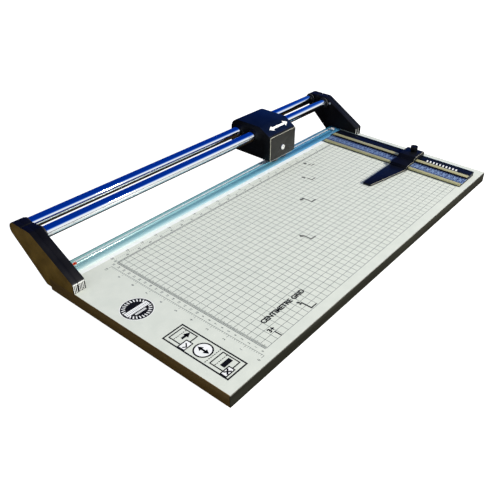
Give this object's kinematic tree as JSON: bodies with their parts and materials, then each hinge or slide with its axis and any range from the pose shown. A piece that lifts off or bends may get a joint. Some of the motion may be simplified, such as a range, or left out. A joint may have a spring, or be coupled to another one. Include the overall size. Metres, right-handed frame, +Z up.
{
  "type": "rotary paper trimmer",
  "caption": "Flat-bed rotary paper trimmer: laminated grid board, end frames, chrome rails, sliding cutting head, clear sprung clamp strip and raised side guide with an adjustable stop.",
  "frame": {"origin": "on the table, under the middle of the machine's bounding box", "axes": "+X along the cut towards the side guide, +Y from the user towards the rails, +Z up"},
  "size_m": [0.661, 0.374, 0.091],
  "materials": {
    "core_board": "pressed wood fibre",
    "white_laminate": "fine texture, printed with a centimetre grid",
    "backing_laminate": "plain",
    "olive_edging": "satin",
    "brown_edging": "satin",
    "mill_aluminium": "extruded",
    "ground_steel": "ground",
    "zinc_steel": "zinc plated",
    "bright_steel": "polished",
    "spring_steel": "drawn",
    "black_enamel": "satin enamel",
    "brown_enamel": "satin enamel",
    "chrome_plate": "polished",
    "black_rubber": "moulded",
    "clear_plastic": "clear, blue-green tint",
    "orange_plastic": "moulded",
    "blue_anodised": "anodised, with millimetre marks",
    "black_anodised": "anodised",
    "brass_strip": "brushed",
    "bronze": "sintered",
    "black_moulding": "fine moulded texture",
    "grey_black_plate": "satin, worn bright at its edges"
  },
  "bodies": {
    "base": {"board_core": "core_board", "top_laminate": "white_laminate", "bottom_laminate": "backing_laminate", "front_edge_band": "olive_edging", "left_edge_band": "brown_edging", "right_edge_band": "brown_edging", "blade_carrier": "mill_aluminium", "fixed_blade": "ground_steel", "blade_screws": "zinc_steel", "left_frame": "black_enamel", "right_frame": "black_enamel", "left_cover": "brown_enamel", "right_cover": "brown_enamel", "cover_dowels": "zinc_steel", "frame_screws": "zinc_steel", "front_rail": "chrome_plate", "rear_rail": "chrome_plate", "cover_screws": "bright_steel", "left_front_buffer": "black_rubber", "left_rear_buffer": "black_rubber", "right_front_buffer": "black_rubber", "right_rear_buffer": "black_rubber", "left_strip_pin": "orange_plastic", "right_strip_pin": "bright_steel", "strip_washers": "zinc_steel", "left_strip_spring": "spring_steel", "right_strip_spring": "spring_steel", "guide_base": "mill_aluminium", "guide_scale": "blue_anodised", "guide_front_strip": "brass_strip", "guide_rear_strip": "brass_strip", "guide_channel": "black_anodised", "guide_screws": "zinc_steel", "left_front_foot": "black_rubber", "right_front_foot": "black_rubber", "left_rear_foot": "black_rubber", "right_rear_foot": "black_rubber", "foot_screws": "zinc_steel"},
    "head": {"head_body": "black_moulding", "front_plate": "grey_black_plate", "axle_bolt": "bright_steel", "axle_nut": "zinc_steel", "wheel_spacer": "zinc_steel", "preload_spring": "spring_steel", "left_front_bush": "black_moulding", "left_rear_bush": "black_moulding", "right_front_bush": "black_moulding", "right_rear_bush": "black_moulding", "roller_bracket": "zinc_steel", "roller_axles": "bright_steel"},
    "wheel": {"cutting_wheel": "ground_steel", "wheel_hub": "brass_strip", "wheel_bush": "bronze"},
    "left_roller": {"left_roller": "black_rubber"},
    "right_roller": {"right_roller": "black_rubber"},
    "strip": {"clamp_strip": "clear_plastic"},
    "stop": {"stop_block": "black_moulding", "stop_arm": "black_anodised", "clamp_insert": "brass_strip"},
    "thumb_screw": {"thumb_screw": "black_moulding"}
  },
  "joints": [
    {"name": "head_slide", "type": "slide", "parent": "base", "child": "head", "axis": [1, 0, 0], "range_m": [-0.401, 0.147]},
    {"name": "wheel_spin", "type": "hinge", "parent": "head", "child": "wheel", "pos_m": [0.127, 0.124, 0.0512], "axis": [0, 1, 0], "range_deg": [-770, 285]},
    {"name": "left_roller_spin", "type": "hinge", "parent": "head", "child": "left_roller", "pos_m": [0.115, 0.1105, 0.0343], "axis": [0, 1, 0], "range_deg": [-3290, 1210]},
    {"name": "right_roller_spin", "type": "hinge", "parent": "head", "child": "right_roller", "pos_m": [0.139, 0.1105, 0.0343], "axis": [0, 1, 0], "range_deg": [-3290, 1210]},
    {"name": "strip_press", "type": "slide", "parent": "base", "child": "strip", "axis": [0, 0, -1], "range_m": [0, 0.002], "stiffness_N_per_m": 800, "springref_m": -0.004, "deforming": ["left_strip_spring", "right_strip_spring"]},
    {"name": "stop_slide", "type": "slide", "parent": "base", "child": "stop", "axis": [0, 1, 0], "range_m": [-0.09, 0.14]},
    {"name": "thumb_screw_turn", "type": "hinge", "parent": "stop", "child": "thumb_screw", "pos_m": [0.2965, -0.065, 0.04], "axis": [0, 0, 1], "range_deg": [0, 360]}
  ],
  "couplings": [
    {"joint": "wheel_spin", "follows": "head_slide", "rad_per_m": 33.333},
    {"joint": "left_roller_spin", "follows": "head_slide", "rad_per_m": 142.86},
    {"joint": "right_roller_spin", "follows": "head_slide", "rad_per_m": 142.86}
  ]
}
